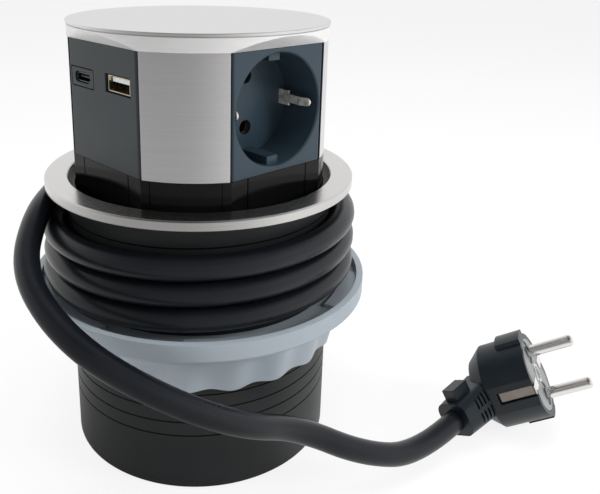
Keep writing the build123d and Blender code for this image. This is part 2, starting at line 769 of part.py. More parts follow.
def cord_tube(points, label):
    """A tube of the cord's thickness along straight runs joined by tangent arcs."""
    radii = corner_radii(points)
    with BuildPart() as tube:
        with BuildLine() as line:
            FilletPolyline(*points, radius=radii)
        route = line.wire()
        with BuildSketch(Plane(origin=route @ 0, z_dir=route % 0)):
            Circle(cord_r)
        sweep()
    save(tube.part, label)
    runs = [(b - a).length for a, b in zip(points, points[1:])]
    print(label, "length", round(route.length, 1), "radii", [round(r) for r in radii],
          "runs", [round(r) for r in runs],
          "volume share", round(tube.part.volume / (cord_area * route.length), 4))


# Cord riser: from the outlet behind the housing, round the nut and up to the winding.
# A stop of a route is its azimuth, its distance outside the nut's rim and its height.
outlet_az = 100.0
outlet_out = 17.5
outlet_z = 16.0
coil_approach = 22.0
outlet_mouth = along(outlet_az, tube_r + outlet_out, outlet_z)
riser_stops = ((109.3, 14.0, 25.0), (119.1, 22.4, 37.7), (129.3, 25.4, 52.0), (140.4, 22.3, 64.9))
riser_points = [outlet_mouth]
riser_points += [along(az, press_rim_r + out, z) for az, out, z in riser_stops]
riser_points += [coil_start - coil_start_dir * coil_approach, coil_start]
cord_tube(riser_points, "cord_riser")

# Cord outlet: saddle on the wall, a ball and a sleeve that the riser leaves square
outlet_sleeve_r = 7.2
outlet_sleeve_len = 12.0
saddle_w = 24.0
saddle_h = 17.0
outlet_dir = (riser_points[1] - riser_points[0]).normalized()
outlet_ball = outlet_mouth - outlet_dir * outlet_sleeve_len
saddle_az = degrees(atan2(outlet_ball.X, -outlet_ball.Y))
saddle_reach = sqrt(outlet_ball.X ** 2 + outlet_ball.Y ** 2)

with BuildPart() as cord_outlet:
    with BuildSketch(face_plane(saddle_az, saddle_reach, cover_t + fit_clear + saddle_h / 2)):
        RectangleRounded(saddle_w, saddle_h, edge_round * 3)
    extrude(amount=-(saddle_reach - tube_in_r))
    with Locations(outlet_ball):
        Sphere(outlet_sleeve_r)
    with BuildSketch(Plane(origin=outlet_ball, z_dir=outlet_dir)):
        Circle(outlet_sleeve_r)
    extrude(amount=outlet_sleeve_len)
    with BuildSketch():
        Circle(tube_r)
    extrude(amount=ring_top_z, mode=Mode.SUBTRACT)
save(cord_outlet.part, "cord_outlet")

# Inner curly lead from a terminal block on the cover to a clamp under the deck
lead_r = 3.0
lead_coil_r = 12.0
lead_low_z = 16.0
lead_top_z = 108.0
lead_first_az = 180.0
lead_turns = 6
block_w = 20.0
block_len = 24.0
block_over = 6.0
lead_end_gap = 0.7
clamp_w = 14.0
clamp_len = 12.0
clamp_under = 4.5


def lead_place(az):
    """The curly lead's centre line at this azimuth."""
    share = (az - lead_first_az) / (360 * lead_turns)
    return along(az, lead_coil_r, lead_low_z + (lead_top_z - lead_low_z) * share)


with BuildPart() as inner_lead:
    with BuildLine() as lead_line:
        wind(lead_place, [lead_first_az + 90.0 * k for k in range(4 * lead_turns + 1)], 2 * lead_r)
    lead_route = lead_line.wire()
    with BuildSketch(Plane(origin=lead_route @ 0, z_dir=lead_route % 0)):
        Circle(lead_r)
    sweep()
save(inner_lead.part, "inner_lead")
lead_foot = lead_route @ 0
lead_tip = lead_route @ 1

with BuildPart() as terminal_block:
    with BuildSketch(Plane.XY.offset(cover_t)):
        with Locations((lead_foot.X + lead_end_gap + block_len / 2, lead_foot.Y)):
            Rectangle(block_len, block_w)
    extrude(amount=lead_foot.Z + block_over - cover_t)
    chamfer(terminal_block.faces().sort_by(Axis.Z)[-1].edges(), edge_round)
save(terminal_block.part, "terminal_block")

with BuildPart() as lead_clamp:
    with BuildSketch(Plane.XY.offset(deck_low_z)):
        with Locations((lead_tip.X - lead_end_gap - clamp_len / 2, lead_tip.Y)):
            Rectangle(clamp_len, clamp_w)
    extrude(amount=-(deck_low_z - lead_tip.Z + clamp_under))
    chamfer(lead_clamp.faces().sort_by(Axis.Z)[0].edges(), edge_round)
save(lead_clamp.part, "lead_clamp")

# Plug: where its front face lies, its heading on the floor, its pitch and its roll.
# The grip leaves the body at an angle, in the plane across the pins' line.
plug_az = 42.4
plug_out = 75.2
plug_z = 25.2
plug_heading = -62.8
plug_pitch = 30.0
plug_roll = 6.0
grip_turn = 60.0
grip_root = 18.6
grip_len = 28.5
heading = Vector(cos(radians(plug_heading)), sin(radians(plug_heading)), 0)
beside = Vector(-sin(radians(plug_heading)), cos(radians(plug_heading)), 0)
plug_axis = heading * cos(radians(plug_pitch)) + Vector(0, 0, 1) * sin(radians(plug_pitch))
plug_up = Vector(0, 0, 1) * cos(radians(plug_pitch)) - heading * sin(radians(plug_pitch))
pin_line = plug_up * cos(radians(plug_roll)) + beside * sin(radians(plug_roll))
plug_side = plug_axis.cross(pin_line)
grip_axis = plug_side * sin(radians(grip_turn)) - plug_axis * cos(radians(grip_turn))
plug_face_point = along(plug_az, press_rim_r + plug_out, plug_z)
grip_foot = plug_face_point - plug_axis * grip_root
plug_rear = grip_foot + grip_axis * grip_len


def plug_plane(ahead):
    """A plane across the plug this far ahead of its front face: X along the pins' line."""
    return Plane(origin=plug_face_point + plug_axis * ahead, x_dir=pin_line, z_dir=plug_axis)


# Free stretch: round the left of the nut, across the front, down to the floor and the plug
coil_leave = 7.4
plug_approach = 24.6
free_stops = ((-109.1, -1.8, 98.8), (-90.0, 11.3, 87.6), (-69.2, 17.3, 74.9), (-50.3, 13.6, 59.0),
              (-29.9, 10.1, 44.0), (-8.4, 0.3, 29.5), (7.7, 15.4, 15.6))
free_points = [coil_end, coil_end + coil_end_dir * coil_leave]
free_points += [along(az, press_rim_r + out, z) for az, out, z in free_stops]
free_points += [plug_rear + grip_axis * plug_approach, plug_rear]
cord_tube(free_points, "cord_free")

# Plug body: flattened round body with guide blocks, recesses for the face, pins and straps
plug_body_r = 17.3
plug_half_w = 16.3
plug_body_back = 25.0
plug_body_drop = 0.5
plug_rear_len = 6.0
plug_rear_slope = 5.0
plug_face_t = 2.0
plug_face_r = 15.0
plug_face_half_w = 13.0
guide_block_w = 11.0
guide_block_len = 10.5
guide_block_r = 18.6
pin_d = 4.8
pin_len = 19.0
pin_root = 9.0
strap_w = 3.8
strap_t = 1.0
strap_len = 14.0
strap_setback = 0.6
pocket_w = 5.0
pocket_depth = 2.0

with BuildPart() as plug_body:
    for ahead, inset in ((-plug_body_back, plug_rear_slope), (plug_rear_len - plug_body_back, 0)):
        with BuildSketch(plug_plane(ahead)):
            with Locations((-plug_body_drop, 0)):
                Circle(plug_body_r - inset)
            Rectangle(4 * plug_body_r, 2 * (plug_half_w - inset), mode=Mode.INTERSECT)
    loft()
    with BuildSketch(plug_plane(plug_rear_len - plug_body_back)):
        with Locations((-plug_body_drop, 0)):
            Circle(plug_body_r)
        Rectangle(4 * plug_body_r, 2 * plug_half_w, mode=Mode.INTERSECT)
    extrude(amount=plug_body_back - plug_rear_len)
    for hand in (-1, 1):
        with BuildSketch(plug_plane(-guide_block_len)):
            with Locations((hand * plug_body_r, 0)):
                Rectangle(plug_body_r, guide_block_w)
            Circle(guide_block_r, mode=Mode.INTERSECT)
        extrude(amount=guide_block_len)
    with BuildSketch(plug_plane(0)):
        with Locations((-plug_body_drop, 0)):
            Circle(plug_face_r + fit_clear)
        Rectangle(4 * plug_body_r, 2 * (plug_face_half_w + fit_clear), mode=Mode.INTERSECT)
    extrude(amount=-plug_face_t, mode=Mode.SUBTRACT)
    with BuildSketch(plug_plane(0)):
        with Locations((-pin_pitch / 2, 0), (pin_pitch / 2, 0)):
            Circle(pin_d / 2 + fit_clear)
    extrude(amount=-pin_root - fit_clear, mode=Mode.SUBTRACT)
    for hand in (-1, 1):
        with BuildSketch(plug_plane(0)):
            with Locations((0, hand * plug_half_w)):
                Rectangle(pocket_w, 2 * pocket_depth)
        extrude(amount=-strap_len - 2 * strap_setback, mode=Mode.SUBTRACT)
save(plug_body.part, "plug_body")

with BuildPart() as plug_face:
    with BuildSketch(plug_plane(-plug_face_t)):
        with Locations((-plug_body_drop, 0)):
            Circle(plug_face_r)
        Rectangle(4 * plug_body_r, 2 * plug_face_half_w, mode=Mode.INTERSECT)
    extrude(amount=plug_face_t)
    with BuildSketch(plug_plane(0)):
        with Locations((-pin_pitch / 2, 0), (pin_pitch / 2, 0)):
            Circle(pin_d)
    extrude(amount=-plug_face_t / 3, mode=Mode.SUBTRACT)
    with BuildSketch(plug_plane(0)):
        with Locations((-pin_pitch / 2, 0), (pin_pitch / 2, 0)):
            Circle(pin_d / 2 + fit_clear)
    extrude(amount=-plug_face_t, mode=Mode.SUBTRACT)
save(plug_face.part, "plug_face")

with BuildPart() as plug_pins:
    with BuildSketch(plug_plane(-pin_root)):
        with Locations((-pin_pitch / 2, 0), (pin_pitch / 2, 0)):
            Circle(pin_d / 2)
    extrude(amount=pin_root + pin_len)
    tips = plug_pins.faces().filter_by(GeomType.PLANE).sort_by(Axis(plug_face_point, plug_axis))[-2:]
    fillet(tips[0].edges() + tips[1].edges(), pin_d / 3)
save(plug_pins.part, "plug_pins")

with BuildPart() as plug_earth_straps:
    with BuildSketch(plug_plane(-strap_setback)):
        for hand in (-1, 1):
            with Locations((0, hand * (plug_half_w - pocket_depth + strap_t / 2))):
                Rectangle(strap_w, strap_t)
    extrude(amount=-strap_len)
save(plug_earth_straps.part, "plug_earth_straps")

# Plug grip: tapered block out of the body's side, with two rows of slots and a thumb fin
grip_foot_w = 16.0
grip_foot_t = 18.0
grip_rear_w = 14.0
grip_rear_t = 15.0
grip_corner = 4.5
grip_seat_len = 7.0
slots_n = 5
slot_rows_n = 2
slot_w = 0.9
slot_len = 5.6
slot_pitch = 2.1
slot_row_pitch = 7.4
slot_floor = 7.2
slots_mid = 17.0
fin_len = 9.0
fin_t = 6.0
fin_up = 3.6
fin_at = 17.0


def grip_plane(ahead):
    """A plane across the grip this far from its foot: X along the pins' line."""
    return Plane(origin=grip_foot + grip_axis * ahead, x_dir=pin_line, z_dir=grip_axis)


with BuildPart() as plug_grip:
    with BuildSketch(grip_plane(grip_seat_len)):
        RectangleRounded(grip_foot_w, grip_foot_t, grip_corner)
    with BuildSketch(grip_plane(grip_len)):
        RectangleRounded(grip_rear_w, grip_rear_t, grip_corner)
    loft()
    with BuildSketch(grip_plane(fin_at)):
        with Locations((grip_foot_w / 2, 0)):
            Rectangle(2 * fin_up, fin_t)
    extrude(amount=fin_len)
    for hand in (-1, 1):
        across = grip_axis.cross(pin_line) * hand
        side = Plane(origin=grip_foot + grip_axis * slots_mid + across * slot_floor, x_dir=grip_axis, z_dir=across)
        with BuildSketch(side):
            with GridLocations(slot_pitch, slot_row_pitch, slots_n, slot_rows_n):
                RectangleRounded(slot_w, slot_len, slot_w / 3)
        extrude(amount=grip_foot_t, mode=Mode.SUBTRACT)
    add(plug_body.part, mode=Mode.SUBTRACT)
save(plug_grip.part, "plug_grip")
print("plug lowest", round(min(p.part.bounding_box().min.Z for p in (plug_body, plug_grip, plug_pins)), 2))
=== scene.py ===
from math import cos, pi, radians, sin

import bmesh
import bpy
from mathutils import Matrix, Vector


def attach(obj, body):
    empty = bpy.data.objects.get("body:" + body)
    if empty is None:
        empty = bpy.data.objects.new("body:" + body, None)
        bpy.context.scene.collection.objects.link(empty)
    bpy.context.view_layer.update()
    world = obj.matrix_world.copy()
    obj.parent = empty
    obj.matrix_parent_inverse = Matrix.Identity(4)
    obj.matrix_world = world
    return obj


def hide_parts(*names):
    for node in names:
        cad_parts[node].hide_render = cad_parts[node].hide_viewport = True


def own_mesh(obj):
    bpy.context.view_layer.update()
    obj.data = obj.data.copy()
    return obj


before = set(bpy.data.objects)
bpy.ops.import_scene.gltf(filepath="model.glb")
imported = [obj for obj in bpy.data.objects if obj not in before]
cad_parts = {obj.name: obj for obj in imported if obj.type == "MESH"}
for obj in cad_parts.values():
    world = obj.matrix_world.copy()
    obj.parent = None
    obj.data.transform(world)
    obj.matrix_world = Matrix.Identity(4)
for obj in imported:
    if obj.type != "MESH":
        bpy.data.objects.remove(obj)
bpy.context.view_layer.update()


# Viewpoint
# The camera stands to the left of the front socket, a little above the head and
# close in. Its place and lens come from fitting the ellipses of the rings.

MM = 0.001
view_turn = Matrix.Rotation(radians(-38.8), 3, "Z")
camera_back, camera_up = 282.80 * MM, 197.78 * MM
pan, pitch, roll = radians(4.98), radians(16.9), radians(1.09)
focal_px, middle_px = 741.05, (262.43, 162.42)
frame_w_px, frame_h_px, film_mm = 600, 494, 36.0
nearest_seen = 10 * MM

ahead = Vector((sin(pan) * cos(pitch), cos(pan) * cos(pitch), -sin(pitch)))
level_right = Vector((cos(pan), -sin(pan), 0))
level_up = level_right.cross(ahead)
right = cos(roll) * level_right + sin(roll) * level_up
upward = cos(roll) * level_up - sin(roll) * level_right
camera_axes = Matrix([view_turn @ way for way in (right, upward, -ahead)]).transposed()
camera_spot = view_turn @ Vector((0, -camera_back, camera_up))

camera_data = bpy.data.cameras.new("viewpoint")
camera_data.sensor_fit = "HORIZONTAL"
camera_data.sensor_width = film_mm
camera_data.lens = focal_px / frame_w_px * film_mm
camera_data.shift_x = (frame_w_px / 2 - middle_px[0]) / frame_w_px
camera_data.shift_y = (middle_px[1] - frame_h_px / 2) / frame_w_px
camera_data.clip_start = nearest_seen
camera = bpy.data.objects.new("viewpoint", camera_data)
bpy.context.collection.objects.link(camera)
camera.matrix_world = Matrix.Translation(camera_spot) @ camera_axes.to_4x4()
bpy.context.scene.camera = camera
bpy.context.scene.view_settings.view_transform = "Standard"


# Floor, light and air
# White floor under the part, a large soft light overhead, smaller ones in front and
# at the sides, and a white surround for metal to reflect, dim above and on the left.

floor_half = 3.0
paper_grey, paper_rough, paper_glow = (0.86, 0.86, 0.86, 1), 0.9, 0.84
white_level, dim_level, plain_light = 1.0, 0.3, 0.42
dim_az, dim_full = -30.0, 0.92
sky_from, sky_to = 0.55, 0.8
dim_way = view_turn @ Vector((sin(radians(dim_az)), -cos(radians(dim_az)), 0))


def node(tree, kind, inputs=None, **settings):
    """A node with its settings, and its inputs filled by a value or linked from a socket."""
    made = tree.nodes.new(kind)
    for key, value in settings.items():
        setattr(made, key, value)
    for key, value in (inputs or {}).items():
        if isinstance(value, bpy.types.NodeSocket):
            tree.links.new(value, made.inputs[key])
        else:
            made.inputs[key].default_value = value
    return made


def surround(tree, way):
    """What polished surfaces see along this way: white, but dim above and on the left."""
    level_way = node(tree, "ShaderNodeVectorMath", {0: way, 1: (1, 1, 0)}, operation="MULTIPLY")
    unit = node(tree, "ShaderNodeVectorMath", {0: level_way.outputs[0]}, operation="NORMALIZE")
    facing = node(tree, "ShaderNodeVectorMath", {0: unit.outputs[0], 1: tuple(dim_way)},
                  operation="DOT_PRODUCT")
    level = node(tree, "ShaderNodeMapRange", {
        "Value": facing.outputs["Value"], "From Min": 0.0, "From Max": dim_full,
        "To Min": white_level, "To Max": dim_level})
    rise = node(tree, "ShaderNodeSeparateXYZ", {0: way})
    open_sky = node(tree, "ShaderNodeMapRange", {
        "Value": rise.outputs["Z"], "From Min": sky_from, "From Max": sky_to,
        "To Min": white_level, "To Max": dim_level})
    both = node(tree, "ShaderNodeMath", {0: level.outputs["Result"], 1: open_sky.outputs["Result"]},
                operation="MULTIPLY")
    return both.outputs[0]


bpy.ops.mesh.primitive_plane_add(size=2 * floor_half, location=(0, 0, 0))
floor = bpy.context.object
floor.name = "floor"
paper = bpy.data.materials.new("floor_paper")
paper.use_nodes = True
tree = paper.node_tree
body = tree.nodes["Principled BSDF"]
body.inputs["Base Color"].default_value = paper_grey
body.inputs["Roughness"].default_value = paper_rough
path = tree.nodes.new("ShaderNodeLightPath")
place = node(tree, "ShaderNodeTexCoord").outputs["Object"]
shine = node(tree, "ShaderNodeMix", {
    "Factor": path.outputs["Is Camera Ray"], "A": surround(tree, place), "B": white_level})
glow = node(tree, "ShaderNodeEmission", {"Color": (1, 1, 1, 1), "Strength": shine.outputs[0]})
seen = path.outputs["Is Camera Ray"]
for ray in ("Is Glossy Ray", "Is Transmission Ray"):
    seen = node(tree, "ShaderNodeMath", {0: seen, 1: path.outputs[ray]},
                operation="MAXIMUM").outputs[0]
blend = node(tree, "ShaderNodeMath", {0: seen, 1: paper_glow}, operation="MULTIPLY")
mixed = node(tree, "ShaderNodeMixShader", {
    0: blend.outputs[0], 1: body.outputs[0], 2: glow.outputs[0]})
tree.links.new(mixed.outputs[0], tree.nodes["Material Output"].inputs["Surface"])
floor.data.materials.append(paper)

world = bpy.data.worlds.new("air")
bpy.context.scene.world = world
world.use_nodes = True
tree = world.node_tree
back = tree.nodes["Background"]
back.inputs["Color"].default_value = (1, 1, 1, 1)
path = tree.nodes.new("ShaderNodeLightPath")
look_way = node(tree, "ShaderNodeTexCoord").outputs["Generated"]
lit = node(tree, "ShaderNodeMix", {
    "Factor": path.outputs["Is Glossy Ray"], "A": plain_light, "B": surround(tree, look_way)})
level = node(tree, "ShaderNodeMix", {
    "Factor": path.outputs["Is Camera Ray"], "A": lit.outputs[0], "B": white_level})
tree.links.new(level.outputs[0], back.inputs["Strength"])

# Soft lights: place in metres with the camera's side as the front, width and height, watts
lamp_aim = Vector((0, 0, 0.1))
soft_lights = {
    "overhead": ((0.0, 0.05, 0.95), (0.9, 0.7), 8.0),
    "front_fill": ((-0.1, -0.9, 0.5), (0.6, 0.6), 0.8),
    "left_side": ((-0.85, -0.35, 0.45), (0.3, 0.5), 1.5),
    "right_side": ((0.85, -0.4, 0.55), (0.3, 0.4), 6.8),
}
for name, (spot, size, watts) in soft_lights.items():
    data = bpy.data.lights.new(name, "AREA")
    data.shape, data.size, data.size_y = "RECTANGLE", *size
    data.energy = watts
    lamp = bpy.data.objects.new(name, data)
    lamp.visible_glossy = False
    bpy.context.collection.objects.link(lamp)
    here, there = view_turn @ Vector(spot), view_turn @ lamp_aim
    turned_way = (there - here).to_track_quat("-Z", "Y").to_matrix()
    lamp.matrix_world = Matrix.Translation(here) @ turned_way.to_4x4()


# Housing
# Black moulded tube with a shallow right-hand thread, drawn as a painted-shade line, up most
# of its wall, a flange under the trim ring, and a base cover that is screwed on.

groove_r, groove_w, groove_t = 52.0 * MM, 0.5 * MM, 0.08 * MM
thread_pitch, thread_turns, thread_low_z = 5.7 * MM, 14.1, 19.4 * MM
points_a_turn = 96
noise_low, noise_high = 0.3, 0.7
edge_samples = 4


def new_group(name, inputs):
    """A shader group with these named inputs that puts out roughness, tone and normal."""
    tree = bpy.data.node_groups.new(name, "ShaderNodeTree")
    for label, value in inputs.items():
        socket = tree.interface.new_socket(label, in_out="INPUT", socket_type="NodeSocketFloat")
        socket.default_value = value
    for label, kind in (("Roughness", "Float"), ("Tone", "Float"), ("Normal", "Vector")):
        tree.interface.new_socket(label, in_out="OUTPUT", socket_type="NodeSocket" + kind)
    return tree, tree.nodes.new("NodeGroupInput").outputs, tree.nodes.new("NodeGroupOutput").inputs


def surface_end(tree, given, out, spread, height):
    """Gloss and tone that follow spread, relief from height over rounded edges, then out."""
    rounded = node(tree, "ShaderNodeBevel", {"Radius": given["Edge"]}, samples=edge_samples)
    relief = node(tree, "ShaderNodeBump", {
        "Strength": given["Relief"], "Distance": given["Relief Depth"], "Height": height,
        "Normal": rounded.outputs["Normal"]})
    span = {"Value": spread, "From Min": noise_low, "From Max": noise_high}
    gloss = node(tree, "ShaderNodeMapRange", {
        **span, "To Min": given["Rough Low"], "To Max": given["Rough High"]})
    tone = node(tree, "ShaderNodeMapRange", span)
    tree.links.new(gloss.outputs["Result"], out["Roughness"])
    tree.links.new(tone.outputs["Result"], out["Tone"])
    tree.links.new(relief.outputs["Normal"], out["Normal"])


# Moulded surface: fine grain, slow unevenness in gloss and tone, rounded edges
moulded, given, out = new_group("moulded_surface", {
    "Grain": 4000.0, "Patches": 60.0, "Rough Low": 0.3, "Rough High": 0.5, "Relief": 0.1,
    "Relief Depth": 0.0001, "Edge": 0.0002})
place = node(moulded, "ShaderNodeTexCoord").outputs["Object"]
patches = node(moulded, "ShaderNodeTexNoise", {
    "Vector": place, "Scale": given["Patches"], "Detail": 4.0, "Roughness": 0.6})
grain = node(moulded, "ShaderNodeTexNoise", {
    "Vector": place, "Scale": given["Grain"], "Detail": 2.0, "Roughness": 0.6})
surface_end(moulded, given, out, patches.outputs["Fac"], grain.outputs["Fac"])


def material(name, effect, dark, light, rough, metallic=0.0, specular=0.5, **values):
    """A Principled material whose colour, roughness and normal come from an effect group.

    Its tone runs from dark to light and its roughness over rough; values fill the group's
    other inputs by name.
    """
    made = bpy.data.materials.new(name)
    made.use_nodes = True
    tree = made.node_tree
    group = tree.nodes.new("ShaderNodeGroup")
    group.node_tree = effect
    group.inputs["Rough Low"].default_value, group.inputs["Rough High"].default_value = rough
    for key, value in values.items():
        group.inputs[key.replace("_", " ").title()].default_value = value
    mix = node(tree, "ShaderNodeMix", data_type="RGBA")
    mix.inputs[6].default_value = (*dark, 1)
    mix.inputs[7].default_value = (*light, 1)
    principled = tree.nodes["Principled BSDF"]
    principled.inputs["Metallic"].default_value = metallic
    principled.inputs["Specular IOR Level"].default_value = specular
    tree.links.new(group.outputs["Tone"], mix.inputs["Factor"])
    tree.links.new(mix.outputs[2], principled.inputs["Base Color"])
    tree.links.new(group.outputs["Roughness"], principled.inputs["Roughness"])
    tree.links.new(group.outputs["Normal"], principled.inputs["Normal"])
    return made


def dress(look, *names):
    """Gives CAD nodes this material."""
    for name in names:
        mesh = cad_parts[name].data
        mesh.materials.clear()
        mesh.materials.append(look)


tube_look = material("housing_plastic", moulded, (0.012, 0.013, 0.014), (0.018, 0.019, 0.020),
                     (0.4, 0.52), specular=0.3, grain=5200.0, patches=26.0, relief=0.16,
                     relief_depth=0.00008, edge=0.0002)
dress(tube_look, "housing_tube", "base_cover", "guide_bush")
# Painted shade: a near-black matt look for thin ribbons that stand for the shade inside fine
# grooves
groove_shade_look = material("painted_groove_shade", moulded, (0.0012, 0.0012, 0.0012), (0.002, 0.002, 0.002),
                       (0.8, 0.9), specular=0.1, edge=0.0)

# The thread's groove, drawn as painted shade: a thin near-black ribbon wound up the smooth wall
helix = bpy.data.node_groups.new("thread_helix", "GeometryNodeTree")
for label, kind in (("Radius", "Float"), ("Rise", "Float"), ("Turns", "Float"), ("Land", "Float"),
                    ("Depth", "Float"), ("Start", "Vector"), ("Look", "Material")):
    helix.interface.new_socket(label, in_out="INPUT", socket_type="NodeSocket" + kind)
helix.interface.new_socket("Geometry", in_out="OUTPUT", socket_type="NodeSocketGeometry")
given = helix.nodes.new("NodeGroupInput").outputs
spiral = node(helix, "GeometryNodeCurveSpiral", {
    "Resolution": points_a_turn, "Rotations": given["Turns"], "Start Radius": given["Radius"],
    "End Radius": given["Radius"], "Height": given["Rise"], "Reverse": True})
upright = node(helix, "GeometryNodeSetCurveNormal", {"Curve": spiral.outputs[0]}, mode="Z_UP")
section = node(helix, "GeometryNodeCurvePrimitiveQuadrilateral", {
    "Width": given["Depth"], "Height": given["Land"]}, mode="RECTANGLE")
ribbon = node(helix, "GeometryNodeCurveToMesh", {
    "Curve": upright.outputs[0], "Profile Curve": section.outputs[0], "Fill Caps": True})
placed = node(helix, "GeometryNodeTransform", {
    "Geometry": ribbon.outputs[0], "Translation": given["Start"]})
real = node(helix, "GeometryNodeRealizeInstances", {"Geometry": placed.outputs[0]})
coated = node(helix, "GeometryNodeSetMaterial", {
    "Geometry": real.outputs[0], "Material": given["Look"]})
helix.links.new(coated.outputs[0], helix.nodes.new("NodeGroupOutput").inputs[0])

seedling = bpy.data.objects.new("thread_seed", bpy.data.meshes.new("thread_seed"))
bpy.context.collection.objects.link(seedling)
winding_rule = seedling.modifiers.new("winding_rule", "NODES")
winding_rule.node_group = helix
thread_sizes = {
    "Radius": groove_r, "Rise": thread_pitch * thread_turns, "Turns": thread_turns,
    "Land": groove_w, "Depth": groove_t, "Start": (0, 0, thread_low_z), "Look": groove_shade_look}
for item in helix.interface.items_tree:
    if item.name in thread_sizes:
        winding_rule[item.identifier] = thread_sizes[item.name]
grown = seedling.evaluated_get(bpy.context.evaluated_depsgraph_get())
mesh = bpy.data.meshes.new_from_object(grown)
mesh.name = "housing_thread_shade"
seedling.modifiers.clear()
bpy.data.objects.remove(seedling)
thread = bpy.data.objects.new("housing_thread_shade", mesh)
bpy.context.collection.objects.link(thread)
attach(thread, "housing")


# Trim ring and gasket
# Turned aluminium ring, finely brushed round and round, bright on its rim; it
# lies on the desk on a thin foam gasket.

# Turned brushing: fine streaks that follow the axis' circles, on flat faces and round walls
turned, given, out = new_group("turned_brushing", {
    "Lines": 9000.0, "Around": 3.0, "Rough Low": 0.2, "Rough High": 0.34, "Relief": 0.08,
    "Relief Depth": 0.00004, "Edge": 0.0002})
place = node(turned, "ShaderNodeTexCoord").outputs["Object"]
parts = node(turned, "ShaderNodeSeparateXYZ", {0: place})
flat = node(turned, "ShaderNodeCombineXYZ", {"X": parts.outputs["X"], "Y": parts.outputs["Y"]})
reach = node(turned, "ShaderNodeVectorMath", {0: flat.outputs[0]}, operation="LENGTH")
way = node(turned, "ShaderNodeVectorMath", {0: flat.outputs[0]}, operation="NORMALIZE")
way = node(turned, "ShaderNodeVectorMath", {0: way.outputs[0], "Scale": given["Around"]},
           operation="SCALE")
turns = node(turned, "ShaderNodeSeparateXYZ", {0: way.outputs[0]})
lines_out = node(turned, "ShaderNodeMath", {0: reach.outputs["Value"], 1: given["Lines"]},
                 operation="MULTIPLY")
lines_up = node(turned, "ShaderNodeMath", {0: parts.outputs["Z"], 1: given["Lines"]},
                operation="MULTIPLY")
packed = node(turned, "ShaderNodeCombineXYZ", {
    "X": lines_out.outputs[0], "Y": turns.outputs["X"], "Z": turns.outputs["Y"]})
streaks = node(turned, "ShaderNodeTexNoise", {
    "Vector": packed.outputs[0], "W": lines_up.outputs[0], "Scale": 1.0, "Detail": 2.0},
    noise_dimensions="4D")
surface_end(turned, given, out, streaks.outputs["Fac"], streaks.outputs["Fac"])

ring_look = material("ring_aluminium", turned, (0.6, 0.59, 0.575), (0.66, 0.65, 0.635),
                     (0.2, 0.28), metallic=1.0, lines=9000.0, around=3.0, relief=0.035,
                     relief_depth=0.00003, edge=0.0003)
dress(ring_look, "trim_ring")
foam_look = material("gasket_foam", moulded, (0.02, 0.02, 0.02), (0.035, 0.035, 0.035),
                     (0.85, 0.98), grain=1800.0, patches=300.0, relief=0.5,
                     relief_depth=0.0002, edge=0.0)
dress(foam_look, "ring_gasket", "friction_pads")


# Head base
# Glossy black moulding that carries the faces of the head. Its foot shows under
# them, with fine mould seams on its flats.

base_look = material("base_gloss", moulded, (0.003, 0.003, 0.003), (0.005, 0.005, 0.005),
                     (0.1, 0.2), specular=0.2, grain=900.0, patches=50.0, relief=0.02,
                     relief_depth=0.0001, edge=0.0002)
dress(base_look, "head_frame")


# Brushed shell: corner panels, cap ring and lid
# Brushed steel sheet bent round the four corners, a cap ring cut back in a flat
# slope above each face, and a thin pale lid disc with a shadow line under it.

panel_look = material("panel_steel", turned, (0.72, 0.705, 0.71), (0.8, 0.785, 0.79),
                      (0.28, 0.34), metallic=1.0, lines=6500.0, around=2.0, relief=0.035,
                      relief_depth=0.00003, edge=0.0002)
dress(panel_look, "panel_front_right", "panel_back_right", "panel_back_left", "panel_front_left")
cap_look = material("cap_steel", turned, (0.8, 0.79, 0.785), (0.86, 0.85, 0.845),
                    (0.36, 0.44), metallic=0.6, lines=6500.0, around=2.0, relief=0.03,
                    relief_depth=0.00003, edge=0.0002)
dress(cap_look, "cap_ring")
lid_look = material("lid_aluminium", turned, (0.78, 0.782, 0.78), (0.84, 0.842, 0.84),
                    (0.34, 0.42), metallic=1.0, lines=5200.0, around=2.0, relief=0.03,
                    relief_depth=0.00003, edge=0.0003)
dress(lid_look, "top_disc")
steel_look = material("screw_steel", turned, (0.5, 0.5, 0.5), (0.62, 0.62, 0.62),
                      (0.25, 0.4), metallic=1.0)
dress(steel_look, "tie_screws", "cover_screws")


# Sockets
# Anthracite moulded inserts with a round well, guide ribs and two pin holes;
# sprung nickel earth clips stand in from both sides, brass contacts lie behind.

insert_look = material("insert_plastic", moulded, (0.020, 0.036, 0.050), (0.027, 0.046, 0.062),
                       (0.3, 0.4), specular=0.4, grain=7000.0, patches=30.0, relief=0.1,
                       relief_depth=0.00006, edge=0.0003)
clip_look = material("clip_nickel", moulded, (0.2, 0.19, 0.18), (1.0, 0.98, 0.95),
                     (0.14, 0.3), metallic=0.4, grain=900.0, patches=210.0, relief=0.04,
                     relief_depth=0.0002, edge=0.0003)
brass_look = material("contact_brass", turned, (0.3, 0.22, 0.1), (0.45, 0.34, 0.16),
                      (0.2, 0.36), metallic=1.0)
for side in ("front", "right", "back"):
    dress(insert_look, f"socket_insert_{side}")
    dress(clip_look, f"earth_clip_{side}")
    dress(brass_look, f"pin_contacts_{side}")
dress(brass_look, "bus_bar_live", "bus_bar_neutral", "bus_bar_earth")


# Charging face
# Anthracite plate with a rounded port in a fine frame line and a larger port with
# a white tongue; plated shells on a small board with its power parts behind.

